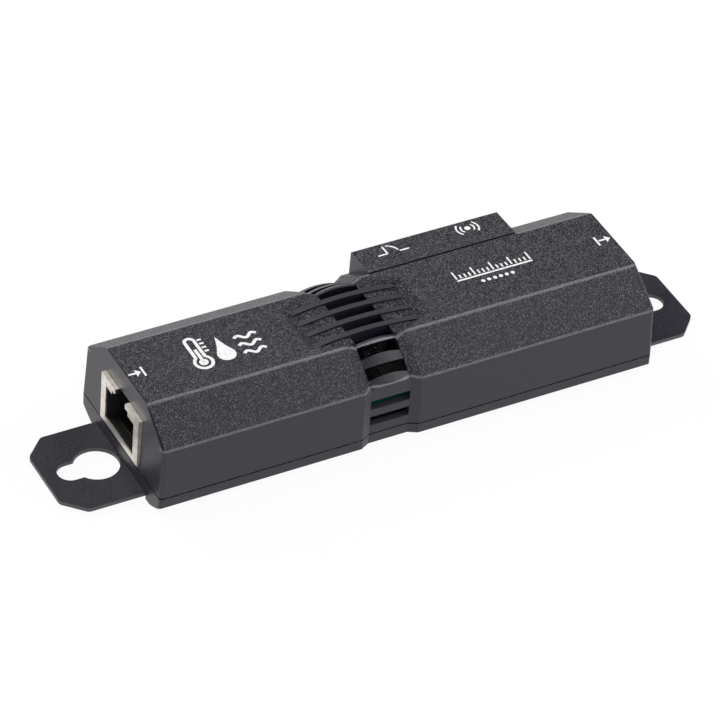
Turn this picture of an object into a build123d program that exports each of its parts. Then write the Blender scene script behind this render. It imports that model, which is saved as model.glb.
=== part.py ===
"""Rack temperature and humidity sensor, in millimetres.

A long plastic case in two halves holds a thin steel plate in a channel below it; the plate's ears
carry a keyhole at each end.  X runs along the case, the data inlet socket is at -X and the outlet
socket at +X, the two small sensor ports face +Y, and Z is up.  The origin is below the middle of
the case, level with its underside.
"""
from build123d import *
import math
import os

# Case, outside
case_width = 34.2
side_lean = 0.3
bevel_run = 7.95
case_height = 21.2
bevel_drop = 5.6
base_height = 4.6
side_foot_height = 2.2
belly_mid_inset = 2.3
belly_mid_height = 0.85
belly_inset = 4.3
end_draft_degrees = 2.4
end_corner_radius = 0.8
end_corner_lap = 0.02
long_edge_radius = 0.45
case_wall = 2.0
base_floor = 1.3
parting_height = 0.3
parting_depth = 0.4
overrun = 1.0

# Waist, sunk all round the case a little off its middle
waist_centre = -4.6
waist_floor_length = 8.4
waist_slope_length = 1.9
waist_depth = 1.0
waist_bulge = 0.6
waist_wall = 1.4

# Vent dish in the top, with its ribs
dish_length = 26.2
dish_corner_inset = 3.1
dish_flare = 0.69
dish_rim_slope = 1.9
dish_depth = 1.5
dish_floor_rise = 1.2
vent_ledge = 0.875
rib_width = 1.2
rib_count = 4
rib_tip_height = 0.55

# Side vents, in the sunk bevels and the sunk side walls
bevel_vent_start = 0.25
bevel_vent_height = 2.55
bevel_vent_bar = 1.7
side_vent_height = 2.1
side_vent_bar = 1.7
side_vent_lift = 1.95
vent_rows = 2

# Mounting plate
plate_lift = 0.6
plate_thickness = 0.85
plate_side_gap = 0.15
plate_side_strip = 1.65
plate_ear_length = 15.7
plate_chamfer = 4.2
plate_corner_radius = 1.5
keyhole_entry_radius = 4.5
keyhole_entry_offset = 4.9
keyhole_slot_radius = 2.6
keyhole_run = 5.4

# Circuit board
board_thickness = 1.6
board_lift_share = 0.316
board_edge_gap = 0.3
board_hole_gap = 0.2
board_notch_depth = 5.1
board_notch_spill = 2.3
board_relief_width = 1.2
board_relief_length = 5.2
board_relief_gap = 0.7

# Data sockets, one at each end
socket_width = 16.0
socket_height = 10.9
socket_depth = 17.6
socket_proud = 0.5
socket_back_gap = 0.5
shield_gauge = 0.3
socket_fit = 0.15
plug_width = 12.0
plug_height = 7.5
plug_depth = 12.5
plug_floor = 1.4
key_step_width = 6.8
key_step_height = 0.9
key_width = 4.4
key_cut_length = 6.0
housing_gap = 0.05
contact_count = 8
contact_pitch = 1.02

# Sensor ports and the housing over them
port_width = 13.2
port_gap = 3.7
port_depth = 14.4
port_head_gap = 0.6
port_side_gap = 0.2
port_hood_side_wall = 0.95
port_hood_gap = 1.8
port_hood_setback = 0.45
port_hood_fall = 0.35
port_plug_width = 9.9
port_plug_height = 7.0
port_plug_depth = 10.0
port_plug_floor = 2.0
port_key_width = 6.2
port_key_height = 1.1
port_latch_width = 3.4
port_latch_height = 0.9
port_contact_count = 6

# Contact springs, in both kinds of socket
contact_gauge = 0.35
contact_width = 0.45
contact_rise = 2.0
contact_inset = 2.2
contact_foot = 1.2

# Screws
cover_screw_reach = 31.0
cover_screw_radius = 1.4
cover_screw_tip_gap = 5.2
plate_screw_reach = 20.0
plate_screw_inset = 3.7
plate_screw_radius = 1.25
plate_screw_tip_gap = 0.55
screw_head_share = 1.7
screw_gap = 0.1
post_wall = 1.0
post_gap = 0.3
drive_length = 2.2
drive_width = 0.5
drive_depth = 0.6

# Parts on the board
sensor_length = 3.0
sensor_width = 3.0
sensor_height = 1.1
sensor_window_radius = 0.6
sensor_window_depth = 0.3
chip_length = 7.4
chip_height = 1.4
chip_offset = 2.0
chip_gap = 0.4
driver_length = 4.9
driver_width = 3.9
driver_height = 1.5
driver_offset = 10.9
lead_width = 0.4
lead_height = 0.5
lead_reach = 1.0
lead_pitch = 1.27
fine_lead_pitch = 0.8
lead_rows = 4
fine_lead_rows = 7
regulator_lead_rows = 3
regulator_length = 6.5
regulator_width = 3.5
regulator_height = 1.6
regulator_tab_width = 3.0
regulator_tab_reach = 1.6
regulator_tab_height = 0.3
regulator_inset = 3.4
crystal_length = 11.0
crystal_width = 4.5
crystal_height = 3.5
crystal_gap = 1.0
capacitor_radius = 2.5
capacitor_height = 5.4
capacitor_base = 0.6
capacitor_offset = 4.9
capacitor_pitch = 7.0
capacitor_inset = 4.3
capacitor_count = 2
resistor_length = 1.6
resistor_width = 0.8
resistor_height = 0.5
resistor_pitch = 1.05
resistor_offset = 5.9
resistor_row_offset = 1.2
resistor_count = 3

# Heights and widths that follow from the sizes above
split_height = base_height
shoulder_height = case_height - bevel_drop
shoulder_width = case_width - 2 * side_lean
top_width = shoulder_width - 2 * bevel_run
belly_mid_width = case_width - 2 * belly_mid_inset
belly_width = case_width - 2 * belly_inset
plate_top = plate_lift + plate_thickness
floor_height = plate_top + base_floor
ceiling_height = case_height - case_wall
spare_height = ceiling_height - floor_height - board_thickness - socket_height
board_underside = floor_height + board_lift_share * spare_height
board_top = board_underside + board_thickness
waist_half_floor = waist_floor_length / 2
waist_half_length = waist_half_floor + waist_slope_length
waist_reach = (waist_centre - waist_half_length, waist_centre + waist_half_length)
vent_reach = (waist_centre - waist_half_floor, waist_centre + waist_half_floor)
vent_span = top_width - 2 * vent_ledge
rib_pitch = (vent_span + rib_width) / (rib_count + 1)

# The ports stand beside the waist, the outlet socket beside them, and the case ends with it
port_spacing = port_width + port_gap
port_hood_length = port_spacing + port_width + 2 * (port_side_gap + port_hood_side_wall)
port_hood_start = waist_centre + waist_half_length + port_hood_gap
port_hood_centre = port_hood_start + port_hood_length / 2
port_bay_height = case_height - port_hood_fall - case_wall
port_height = port_bay_height - board_top - port_head_gap
port_face_y = case_width / 2
end_x = port_hood_start + port_hood_length + socket_back_gap + socket_depth - socket_proud
case_length = 2 * end_x
socket_face_x = end_x + socket_proud

# Plate, board and screws follow the case
plate_length = case_length + 2 * plate_ear_length
plate_width = belly_width - 2 * (plate_side_strip + plate_side_gap)
keyhole_entry_reach = end_x + keyhole_entry_offset
keyhole_slot_reach = keyhole_entry_reach + keyhole_run
board_half_length = end_x - case_wall - board_edge_gap
board_half_width = case_width / 2 - case_wall - board_edge_gap
board_neck_width = 2 * (board_half_width - board_notch_depth)
board_neck_length = waist_floor_length + 2 * board_notch_spill
post_radius = cover_screw_radius + post_wall
cover_screw_row = port_face_y - port_depth - post_gap - post_radius
cover_screw_length = ceiling_height - plate_lift - cover_screw_tip_gap
plate_screw_row = plate_width / 2 - plate_screw_inset
plate_screw_length = board_underside - plate_lift - plate_screw_tip_gap


def prism_x(points, x_start, x_end):
    """Solid from an outline of (y, z) corners, run along X."""
    corners = [(x_start, y, z) for y, z in points]
    return extrude(make_face(Polyline(*corners, close=True)), amount=x_end - x_start, dir=(1, 0, 0))


def prism_y(points, y_start, y_end):
    """Solid from an outline of (x, z) corners, run along Y."""
    corners = [(x, y_start, z) for x, z in points]
    return extrude(make_face(Polyline(*corners, close=True)), amount=y_end - y_start, dir=(0, 1, 0))


def block(x_range, y_range, z_range):
    """Box between three pairs of limits."""
    size = [high - low for low, high in (x_range, y_range, z_range)]
    return Pos(x_range[0], y_range[0], z_range[0]) * Box(*size, align=(Align.MIN,) * 3)


def post(x, y, radius, z_low, z_high):
    """Upright cylinder between two heights."""
    align = (Align.CENTER, Align.CENTER, Align.MIN)
    return Pos(x, y, z_low) * Cylinder(radius, z_high - z_low, align=align)


def fuse(solids):
    """One shape from a list of solids that meet or overlap."""
    first, *rest = solids
    return first.fuse(*rest)


def both_ways(values):
    """Each value with its mirror image."""
    return [sign * value for value in values for sign in (-1, 1)]


# Outlines of the case

def wall_y(z):
    """Half width of the cover's leaning side wall at a height above the split."""
    lean = (case_width - shoulder_width) / 2 / (shoulder_height - split_height)
    return case_width / 2 - lean * (z - split_height)


def cover_half_outline(inset, foot=split_height, swell=0):
    """Right half of the cover's section, as (y, z) corners from its foot up, sunk by inset.

    A swell lifts the bevel and the top again, and leaves the wall as sunk as it is.
    """
    lean = math.atan2((case_width - shoulder_width) / 2, shoulder_height - split_height)
    slope = math.atan2((shoulder_width - top_width) / 2, case_height - shoulder_height)
    wall = (math.cos(lean), math.sin(lean))
    bevel = (math.cos(slope), math.sin(slope))
    wall_reach = wall[0] * case_width / 2 + wall[1] * split_height - inset
    bevel_reach = bevel[0] * top_width / 2 + bevel[1] * case_height - inset + swell
    turn = wall[0] * bevel[1] - wall[1] * bevel[0]
    shoulder = ((wall_reach * bevel[1] - bevel_reach * wall[1]) / turn,
                (wall[0] * bevel_reach - bevel[0] * wall_reach) / turn)
    low_y = (wall_reach - wall[1] * foot) / wall[0]
    top_z = case_height - inset + swell
    top_y = (bevel_reach - bevel[1] * top_z) / bevel[0]
    return [(low_y, foot), shoulder, (top_y, top_z)]


def cover_outline(inset, foot=split_height, swell=0):
    """Whole section of the cover, sunk by inset on every side but its foot."""
    half = cover_half_outline(inset, foot, swell)
    return half + [(-y, z) for y, z in reversed(half)]


def cover_core(x, inset, swell=0):
    """Face of the cover's section at x, run on below the split, for the waist."""
    outline = cover_outline(inset, split_height - overrun, swell)
    return make_face(Polyline(*[(x, y, z) for y, z in outline], close=True))


def base_core(x, inset):
    """Face of the base's section at x, run on above and below the base, for the waist."""
    return base_section(x, inset, overrun)


def base_section(x, inset=0, spill=0):
    """Face of the base's section at x: short walls, sunk by inset, on a rounded belly.

    The belly's foot stays where it is.  With a spill, the walls run on above the split and the
    foot runs on below the floor.
    """
    wall = case_width / 2 - inset
    middle = belly_mid_width / 2 - inset / 2
    foot = belly_width / 2
    rim = split_height + spill

    def side(s):
        upright = Line((x, s * wall, rim), (x, s * wall, side_foot_height))
        belly = ThreePointArc((x, s * wall, side_foot_height), (x, s * middle, belly_mid_height),
                              (x, s * foot, 0))
        down = [Line((x, s * foot, 0), (x, s * foot, -spill))] if spill else []
        return [upright, belly] + down

    across = [Line((x, -foot, -spill), (x, foot, -spill)), Line((x, -wall, rim), (x, wall, rim))]
    return make_face(side(1) + side(-1) + across)


def waist_cut(section, middle=None):
    """What the waist takes away from a solid that has the full section.

    Between the full sections at its ends the waist has two sunk ones, and its floor runs from one
    to the other, through a middle face where one is given.
    """
    places = zip((waist_reach[0], *vent_reach, waist_reach[1]), (0, waist_depth, waist_depth, 0))
    start, low, high, end = [section(x, inset) for x, inset in places]
    floor = loft([low, middle, high]) if middle else loft([low, high], ruled=True)
    core = fuse([loft([start, low], ruled=True), floor, loft([high, end], ruled=True)])
    return block(waist_reach, (-case_width, case_width), (-overrun / 2, case_height + overrun)) - core


def end_clip():
    """Side view of the case: upright up to the split, then drafted towards the top."""
    lean = (case_height - split_height) * math.tan(math.radians(end_draft_degrees))
    half = [(end_x, 0), (end_x, split_height), (end_x - lean, case_height)]
    return prism_y(half + [(-x, z) for x, z in reversed(half)], -case_width, case_width)


def round_ends(solid):
    """Round the upright corners of the two end walls."""
    near_end = end_x - case_wall
    corners = [edge for edge in solid.edges()
               if abs(edge.center().X) > near_end and abs(edge.center().Y) > shoulder_width / 2 - case_wall
               and abs(edge.start_point().Z - edge.end_point().Z) > case_wall]
    return fillet(corners, end_corner_radius)


def round_long_edges(solid):
    """Soften the edges along the case, where the top, the bevels and the walls meet."""
    return fillet(solid.edges().filter_by(Axis.X).filter_by(
        lambda edge: edge.center().Z > split_height + overrun), long_edge_radius)


# Top cover

def dish_corners(inset):
    """Quarter outline of the vent dish, as (x, y) from the waist's middle."""
    end = dish_length / 2 - inset
    corner = top_width / 2 - dish_corner_inset
    return [(end, corner - inset / 2), (waist_half_length, top_width / 2 - inset),
            (waist_half_floor, top_width / 2 + dish_flare)]


def dish_face(inset, z):
    """Face of the dish's outline at height z, drawn in by inset."""
    quarter = dish_corners(inset)
    half = quarter + [(-x, y) for x, y in reversed(quarter)]
    outline = half + [(-x, -y) for x, y in half]
    return make_face(Polyline(*[(waist_centre + x, y, z) for x, y in outline], close=True))


def above_arch(half_chord, end_z, middle_z):
    """Everything above an arch along X, wide enough to trim the dish with."""
    arch = ThreePointArc((waist_centre - half_chord, 0, end_z), (waist_centre, 0, middle_z),
                         (waist_centre + half_chord, 0, end_z))
    lid_z = case_height + overrun
    lid = Polyline((waist_centre + half_chord, 0, end_z), (waist_centre + half_chord, 0, lid_z),
                   (waist_centre - half_chord, 0, lid_z), (waist_centre - half_chord, 0, end_z))
    return Pos(0, -case_width, 0) * extrude(make_face([arch, lid]), amount=2 * case_width, dir=(0, 1, 0))


def vent_ledges():
    """The strips of the sunk top in front of and behind the vents, which the dish leaves whole."""
    return [block(vent_reach, sorted((side * vent_span / 2, side * case_width)), (floor_height, case_height))
            for side in (1, -1)]


def dish_pocket():
    """The shallow pocket of the vent dish: sloping rim and a floor that arches with the ribs."""
    floor_z = case_height - dish_depth
    rim = loft([dish_face(0, case_height), dish_face(dish_rim_slope, floor_z)], ruled=True)
    pocket = rim & above_arch(dish_length / 2, floor_z, floor_z + dish_floor_rise)
    for ledge in vent_ledges():
        pocket -= ledge
    return pocket


def rib_solids():
    """Arched ribs along X over the dish, level with the top at their middle."""
    half_chord = dish_length / 2 - dish_rim_slope
    tip_z = case_height - dish_depth + rib_tip_height
    spread = block((waist_centre - half_chord, waist_centre + half_chord),
                   (-case_width, case_width), (ceiling_height, case_height))
    arched = spread - above_arch(half_chord, tip_z, case_height)
    return [arched & block((-case_length, case_length), (y - rib_width / 2, y + rib_width / 2),
                           (ceiling_height, case_height)) for y in rib_rows_y()]


def rib_rows_y():
    """Where the ribs stand across the top."""
    return [(row - (rib_count - 1) / 2) * rib_pitch for row in range(rib_count)]


def top_slots():
    """Slots through the top, one in each groove between and beside the ribs."""
    width = rib_pitch - rib_width
    rows = [(row - rib_count / 2) * rib_pitch for row in range(rib_count + 1)]
    return [block(vent_reach, (y - width / 2, y + width / 2), (ceiling_height - overrun, case_height))
            for y in rows]


def bevel_vents():
    """Slots through the sunk bevels on both sides: square to the bevel above, upright below."""
    _, shoulder, crest = cover_half_outline(waist_depth)
    length = math.dist(crest, shoulder)
    along = [(b - a) / length for a, b in zip(crest, shoulder)]
    inward = (along[1], -along[0])
    cuts = []
    for row in range(vent_rows):
        start = bevel_vent_start + row * (bevel_vent_height + bevel_vent_bar)
        near = [c + a * start for c, a in zip(crest, along)]
        far = [c + a * (start + bevel_vent_height) for c, a in zip(crest, along)]
        outline = [(near[0] - inward[0] * overrun, near[1] - inward[1] * overrun),
                   (far[0], far[1] + overrun), (far[0], far[1] - case_wall),
                   (near[0] + inward[0] * case_wall, near[1] + inward[1] * case_wall)]
        for side in (1, -1):
            cuts.append(prism_x([(side * y, z) for y, z in outline], *vent_reach))
    return cuts


def side_vents():
    """Slots through the sunk side walls."""
    cuts = []
    for row in range(vent_rows):
        low = split_height + side_vent_lift + row * (side_vent_height + side_vent_bar)
        outer = case_width / 2 + overrun
        inner = shoulder_width / 2 - case_wall - overrun
        for limits in ((inner, outer), (-outer, -inner)):
            cuts.append(block(vent_reach, limits, (low, low + side_vent_height)))
    return cuts


def port_hood():
    """Housing over the sensor ports: it carries the top out to the back wall."""
    back_z = case_height - port_hood_fall
    crease = top_width / 2 + port_hood_setback
    outline = [(crease, split_height), (case_width / 2, split_height), (wall_y(back_z), back_z),
               (crease, case_height)]
    return prism_x(outline, port_hood_start, port_hood_start + port_hood_length)


def port_bay():
    """Hollow under the port housing."""
    half = port_hood_length / 2 - port_hood_side_wall
    return block((port_hood_centre - half, port_hood_centre + half),
                 (0, shoulder_width / 2 - case_wall),
                 (split_height, port_bay_height))


def port_centres():
    """Where the two sensor ports stand along X."""
    return [port_hood_centre - port_spacing / 2, port_hood_centre + port_spacing / 2]


def socket_windows(foot):
    """Cut-outs in the end walls and the back wall, from a foot height up to the sockets' tops."""
    half = socket_width / 2 + socket_fit
    high = board_top + socket_height + socket_fit
    cuts = [block(limits, (-half, half), (foot, high))
            for limits in ((-end_x - overrun, -end_x + case_wall), (end_x - case_wall, end_x + overrun))]
    half = port_width / 2 + socket_fit
    high = board_top + port_height + socket_fit
    inner = shoulder_width / 2 - case_wall
    return cuts + [block((x - half, x + half), (inner, case_width / 2 + overrun), (foot, high))
                   for x in port_centres()]


def cover_hollow():
    """Inside of the cover, drawn in under the waist to leave its walls thick enough."""
    hollow = prism_x(cover_outline(case_wall), -end_x + case_wall, end_x - case_wall)
    narrow = prism_x(cover_outline(waist_depth + waist_wall), *waist_reach)
    return hollow - (block(waist_reach, (-case_width, case_width), (0, case_height)) - narrow)


def make_top_cover():
    """Upper half of the case, with the vented waist, the port housing and two screw bosses."""
    outer = prism_x(cover_outline(0), -end_x, end_x) & end_clip()
    outer = round_long_edges(round_ends(outer))
    waist = waist_cut(cover_core, cover_core(waist_centre, waist_depth, waist_bulge))
    waist -= block(waist_reach, (-vent_span / 2, vent_span / 2), (ceiling_height, case_height + 2 * overrun))
    outer = outer - waist - dish_pocket() + port_hood()
    shell = outer - cover_hollow() - port_bay()
    shell = fuse([shell] + rib_solids())
    for cut in top_slots() + bevel_vents() + side_vents() + socket_windows(split_height):
        shell -= cut
    bosses = [post(x, cover_screw_row, post_radius, board_top, ceiling_height)
              for x in both_ways([cover_screw_reach])]
    shell = fuse([shell] + bosses)
    for screw in cover_screws(screw_gap):
        shell -= screw
    return shell


# Base and plate

def base_body(inset=0):
    """Solid body of the base, with its waist; its walls are drawn in by inset."""
    plan = RectangleRounded(case_length - 2 * inset, case_width + 2 * (end_corner_lap - inset),
                            end_corner_radius)
    body = extrude(plan, amount=split_height)
    body &= extrude(base_section(-case_length, inset), amount=2 * case_length, dir=(1, 0, 0))
    return body - waist_cut(lambda x, sunk: base_core(x, sunk + inset))


def parting_groove():
    """Thin shadow gap round the top of the base, where the two halves meet."""
    band = block((-case_length, case_length), (-case_width, case_width),
                 (split_height - parting_height, split_height))
    return band - base_body(parting_depth)


def make_base_cover():
    """Lower half of the case: belly, plate channel, board posts and rests for the sockets."""
    outer = base_body()
    half_x, half_y = end_x - case_wall, case_width / 2 - case_wall
    outer -= block((-half_x, half_x), (-half_y, half_y), (floor_height, split_height))
    channel = plate_width / 2 + plate_side_gap
    outer -= block((-case_length, case_length), (-channel, channel), (-overrun, plate_top))
    posts = [post(x, y, post_radius, floor_height, board_underside)
             for x, y in cover_screw_places() + plate_screw_places()]
    base = fuse([fuse([outer] + posts)] + socket_rests()) - parting_groove()
    for cut in socket_windows(board_top) + cover_screws(screw_gap) + plate_screws(screw_gap):
        base -= cut
    return base


def socket_rests():
    """Low walls that close the windows under the sockets and carry them."""
    half = socket_width / 2
    rests = [block(limits, (-half, half), (floor_height, board_top))
             for limits in ((-end_x, -end_x + case_wall), (end_x - case_wall, end_x))]
    half = port_width / 2
    limits = (case_width / 2 - case_wall, case_width / 2)
    return rests + [block((x - half, x + half), limits, (floor_height, board_top))
                    for x in port_centres()]


def keyhole(side):
    """Outline of one keyhole: a round entry beside the case and a slot towards the ear's tip."""
    run = keyhole_slot_reach - keyhole_entry_reach
    entry = Pos(side * keyhole_entry_reach, 0) * Circle(keyhole_entry_radius)
    neck = Pos(side * (keyhole_entry_reach + run / 2), 0) * Rectangle(run, 2 * keyhole_slot_radius)
    return entry + neck + Pos(side * keyhole_slot_reach, 0) * Circle(keyhole_slot_radius)


def make_mounting_plate():
    """Sheet steel plate with cropped, rounded corners, two keyholes and countersunk holes."""
    x, y, crop = plate_length / 2, plate_width / 2, plate_chamfer
    quarter = [(x - crop, y), (x, y - crop)]
    half = quarter + [(px, -py) for px, py in reversed(quarter)]
    outline = Polyline(*(half + [(-px, -py) for px, py in half]), close=True)
    sheet = make_face(outline)
    sheet = fillet(sheet.vertices(), plate_corner_radius)
    plate = Pos(0, 0, plate_lift) * extrude(sheet - keyhole(1) - keyhole(-1), amount=plate_thickness)
    for screw in cover_screws(screw_gap) + plate_screws(screw_gap):
        plate -= screw
    return plate


# Screws

def countersunk_screw(x, y, radius, length, gap):
    """Screw let in flush from below; with a gap it is the hole that such a screw needs."""
    head = radius * screw_head_share
    shank = post(x, y, radius + gap, plate_lift, plate_lift + length + gap)
    cone = Pos(x, y, plate_lift) * Cone(head + gap, radius + gap, head - radius,
                               align=(Align.CENTER, Align.CENTER, Align.MIN))
    return shank + cone


def cover_screw_places():
    """Where the two long screws stand, beside the sensor ports."""
    return [(x, cover_screw_row) for x in both_ways([cover_screw_reach])]


def plate_screw_places():
    """Where the four short screws stand."""
    return [(x, y) for x in both_ways([plate_screw_reach]) for y in both_ways([plate_screw_row])]


def cover_screws(gap=0):
    """Two long screws that clamp plate, base, board and cover."""
    return [countersunk_screw(x, y, cover_screw_radius, cover_screw_length, gap)
            for x, y in cover_screw_places()]


def plate_screws(gap=0):
    """Four short screws that hold the plate to the base."""
    return [countersunk_screw(x, y, plate_screw_radius, plate_screw_length, gap)
            for x, y in plate_screw_places()]


def with_cross_recess(screw):
    """Cut the driver's cross into a screw's head."""
    middle = screw.bounding_box().center()
    half, arm = drive_width / 2, drive_length / 2
    for x_half, y_half in ((arm, half), (half, arm)):
        screw -= block((middle.X - x_half, middle.X + x_half), (middle.Y - y_half, middle.Y + y_half),
                       (plate_lift, plate_lift + drive_depth))
    return screw


# Circuit board

def make_circuit_board():
    """Board with a narrow neck in the waist, relief slots beside the sensor and screw holes."""
    heights = (board_underside, board_top)
    board = block((-board_half_length, board_half_length), (-board_half_width, board_half_width), heights)
    neck = (waist_centre - board_neck_length / 2, waist_centre + board_neck_length / 2)
    for side in (1, -1):
        edge = sorted((side * board_neck_width / 2, side * case_width / 2))
        board -= block(neck, edge, heights)
    for offset in both_ways([sensor_length / 2 + board_relief_gap + board_relief_width / 2]):
        x = waist_centre + offset
        board -= block((x - board_relief_width / 2, x + board_relief_width / 2),
                       (-board_relief_length / 2, board_relief_length / 2), heights)
    for x, y in cover_screw_places():
        board -= post(x, y, cover_screw_radius + board_hole_gap, board_underside, board_top)
    return board


# Sockets, drawn with the face at x = 0 looking along +X and the board at z = 0

def plug_opening(depth, width, height, floor, step, latch):
    """Space a plug takes: the main opening, then the stepped slot for its latch above it.

    step and latch are (width, top) pairs; their tops are heights above the board.
    """
    ceiling = floor + height
    parts = [block((-depth, overrun), (-width / 2, width / 2), (floor, ceiling))]
    for part_width, top in (step, latch):
        parts.append(block((-depth, overrun), (-part_width / 2, part_width / 2), (ceiling, top)))
    return fuse(parts)


def contact_springs(count, depth, floor):
    """Flat springs that rise from the floor of a socket to its back wall, side by side."""
    top = floor + contact_gauge
    bend = -contact_inset - contact_foot
    outline = [(-contact_inset, floor), (-contact_inset, top), (bend, top),
               (-depth, top + contact_rise), (-depth, floor + contact_rise), (bend, floor)]
    rows = [(index - (count - 1) / 2) * contact_pitch for index in range(count)]
    return [prism_y(outline, y - contact_width / 2, y + contact_width / 2) for y in rows]


def data_opening(depth):
    """Plug space of a data socket; its latch slot runs out through the top."""
    ceiling = plug_floor + plug_height
    return plug_opening(depth, plug_width, plug_height, plug_floor,
                        (key_step_width, ceiling + key_step_height), (key_width, ceiling + key_step_height))


def latch_cut():
    """Slot for the plug's latch, open through the top of a data socket."""
    low = plug_floor + plug_height
    return block((-key_cut_length, overrun), (-key_width / 2, key_width / 2), (low, socket_height + overrun))


def data_shield():
    """Folded metal shield: face, top, sides and back, open below."""
    half = socket_width / 2
    shield = block((-socket_depth, 0), (-half, half), (0, socket_height))
    inner = half - shield_gauge
    shield -= block((-socket_depth + shield_gauge, -shield_gauge), (-inner, inner),
                    (0, socket_height - shield_gauge))
    return shield - data_opening(socket_depth / 2) - latch_cut()


def data_housing():
    """Plastic insert of a data socket, inside its shield."""
    margin = shield_gauge + housing_gap
    half = socket_width / 2 - margin
    insert = block((-socket_depth + margin, -margin), (-half, half), (0, socket_height - margin))
    return insert - data_opening(plug_depth) - latch_cut()


def port_housing():
    """Plastic body of a sensor port."""
    half = port_width / 2
    body = block((-port_depth, 0), (-half, half), (0, port_height))
    ceiling = port_plug_floor + port_plug_height
    step = ceiling + port_key_height
    return body - plug_opening(port_plug_depth, port_plug_width, port_plug_height, port_plug_floor,
                               (port_key_width, step), (port_latch_width, step + port_latch_height))


def data_places():
    """Name and place of each data socket."""
    return [("in_jack", Pos(-socket_face_x, 0, board_top) * Rot(0, 0, 180)),
            ("out_jack", Pos(socket_face_x, 0, board_top))]


def port_places():
    """Name and place of each sensor port."""
    return [(name, Pos(x, port_face_y, board_top) * Rot(0, 0, 90))
            for name, x in zip(("door_port", "sensor_port"), port_centres())]


# Parts on the board

def seated(x, y, length, width, height, low=0):
    """Block of a board part, low above the board."""
    base = board_top + low
    return block((x - length / 2, x + length / 2), (y - width / 2, y + width / 2), (base, base + height))


def lead_row(x, y, count, pitch, reach_x, reach_y):
    """Row of solder leads centred on a side of a chip: along Y if they reach along X, or along X."""
    leads = []
    for index in range(count):
        shift = (index - (count - 1) / 2) * pitch
        spot = (x, y + shift) if reach_x else (x + shift, y)
        size = (reach_x or lead_width, reach_y or lead_width)
        leads.append(seated(*spot, *size, lead_height))
    return leads


def neck_end(side):
    """Where the board's neck ends, on its inlet side (-1) or its outlet side (1)."""
    return waist_centre + side * board_neck_length / 2


def capacitor_row():
    """Where the row of capacitors stands, along the front edge."""
    return capacitor_inset - board_half_width


def chip_place():
    """Middle of the microcontroller, behind the capacitors on the outlet side of the neck."""
    front = capacitor_row() + capacitor_radius + chip_gap
    return neck_end(1) + chip_offset, front + lead_reach + chip_length / 2


def driver_x():
    """Where the line driver and the voltage regulator stand, on the inlet side of the neck."""
    return neck_end(-1) - driver_offset


def make_climate_sensor():
    """Small sensor chip with a round window in its lid, in the middle of the board's neck."""
    chip = seated(waist_centre, 0, sensor_length, sensor_width, sensor_height)
    top = board_top + sensor_height
    return chip - post(waist_centre, 0, sensor_window_radius, top - sensor_window_depth, top)


def make_microcontroller():
    """Square chip with leads on all four sides."""
    x, y = chip_place()
    solids = [seated(x, y, chip_length, chip_length, chip_height)]
    for side in both_ways([(chip_length + lead_reach) / 2]):
        solids += lead_row(x + side, y, fine_lead_rows, fine_lead_pitch, lead_reach, 0)
        solids += lead_row(x, y + side, fine_lead_rows, fine_lead_pitch, 0, lead_reach)
    return fuse(solids)


def make_line_driver():
    """Small chip with leads along its two long sides."""
    x = driver_x()
    solids = [seated(x, 0, driver_length, driver_width, driver_height)]
    for side in both_ways([(driver_width + lead_reach) / 2]):
        solids += lead_row(x, side, lead_rows, lead_pitch, 0, lead_reach)
    return fuse(solids)


def make_voltage_regulator():
    """Power chip with one wide tab and three leads, in front of the line driver."""
    x, y = driver_x(), regulator_inset - board_half_width
    tab_y = y + (regulator_width + regulator_tab_reach) / 2
    lead_y = y - (regulator_width + lead_reach) / 2
    solids = [seated(x, y, regulator_length, regulator_width, regulator_height),
              seated(x, tab_y, regulator_tab_width, regulator_tab_reach, regulator_tab_height)]
    pitch = regulator_length / regulator_lead_rows
    return fuse(solids + lead_row(x, lead_y, regulator_lead_rows, pitch, 0, lead_reach))


def make_crystal():
    """Flat metal can with round ends, beside the microcontroller."""
    x, y = chip_place()
    x += (chip_length + crystal_length) / 2 + lead_reach + crystal_gap
    straight = crystal_length - crystal_width
    can = seated(x, y, straight, crystal_width, crystal_height)
    ends = [post(x + end, y, crystal_width / 2, board_top, board_top + crystal_height)
            for end in both_ways([straight / 2])]
    return fuse([can] + ends)


def make_capacitors():
    """Round cans on square bases, in a row along the front edge."""
    cans = []
    y = capacitor_row()
    for index in range(capacitor_count):
        x = neck_end(1) + capacitor_offset + index * capacitor_pitch
        foot = seated(x, y, 2 * capacitor_radius, 2 * capacitor_radius, capacitor_base)
        top = board_top + capacitor_height
        cans.append(foot + post(x, y, capacitor_radius, board_top + capacitor_base, top))
    return cans


def make_resistors():
    """Row of chip resistors between the neck and the door port."""
    y = port_face_y - port_depth + resistor_row_offset
    xs = [waist_centre + resistor_offset + index * resistor_pitch for index in range(resistor_count)]
    return [seated(x, y, resistor_width, resistor_length, resistor_height) for x in xs]


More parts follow.
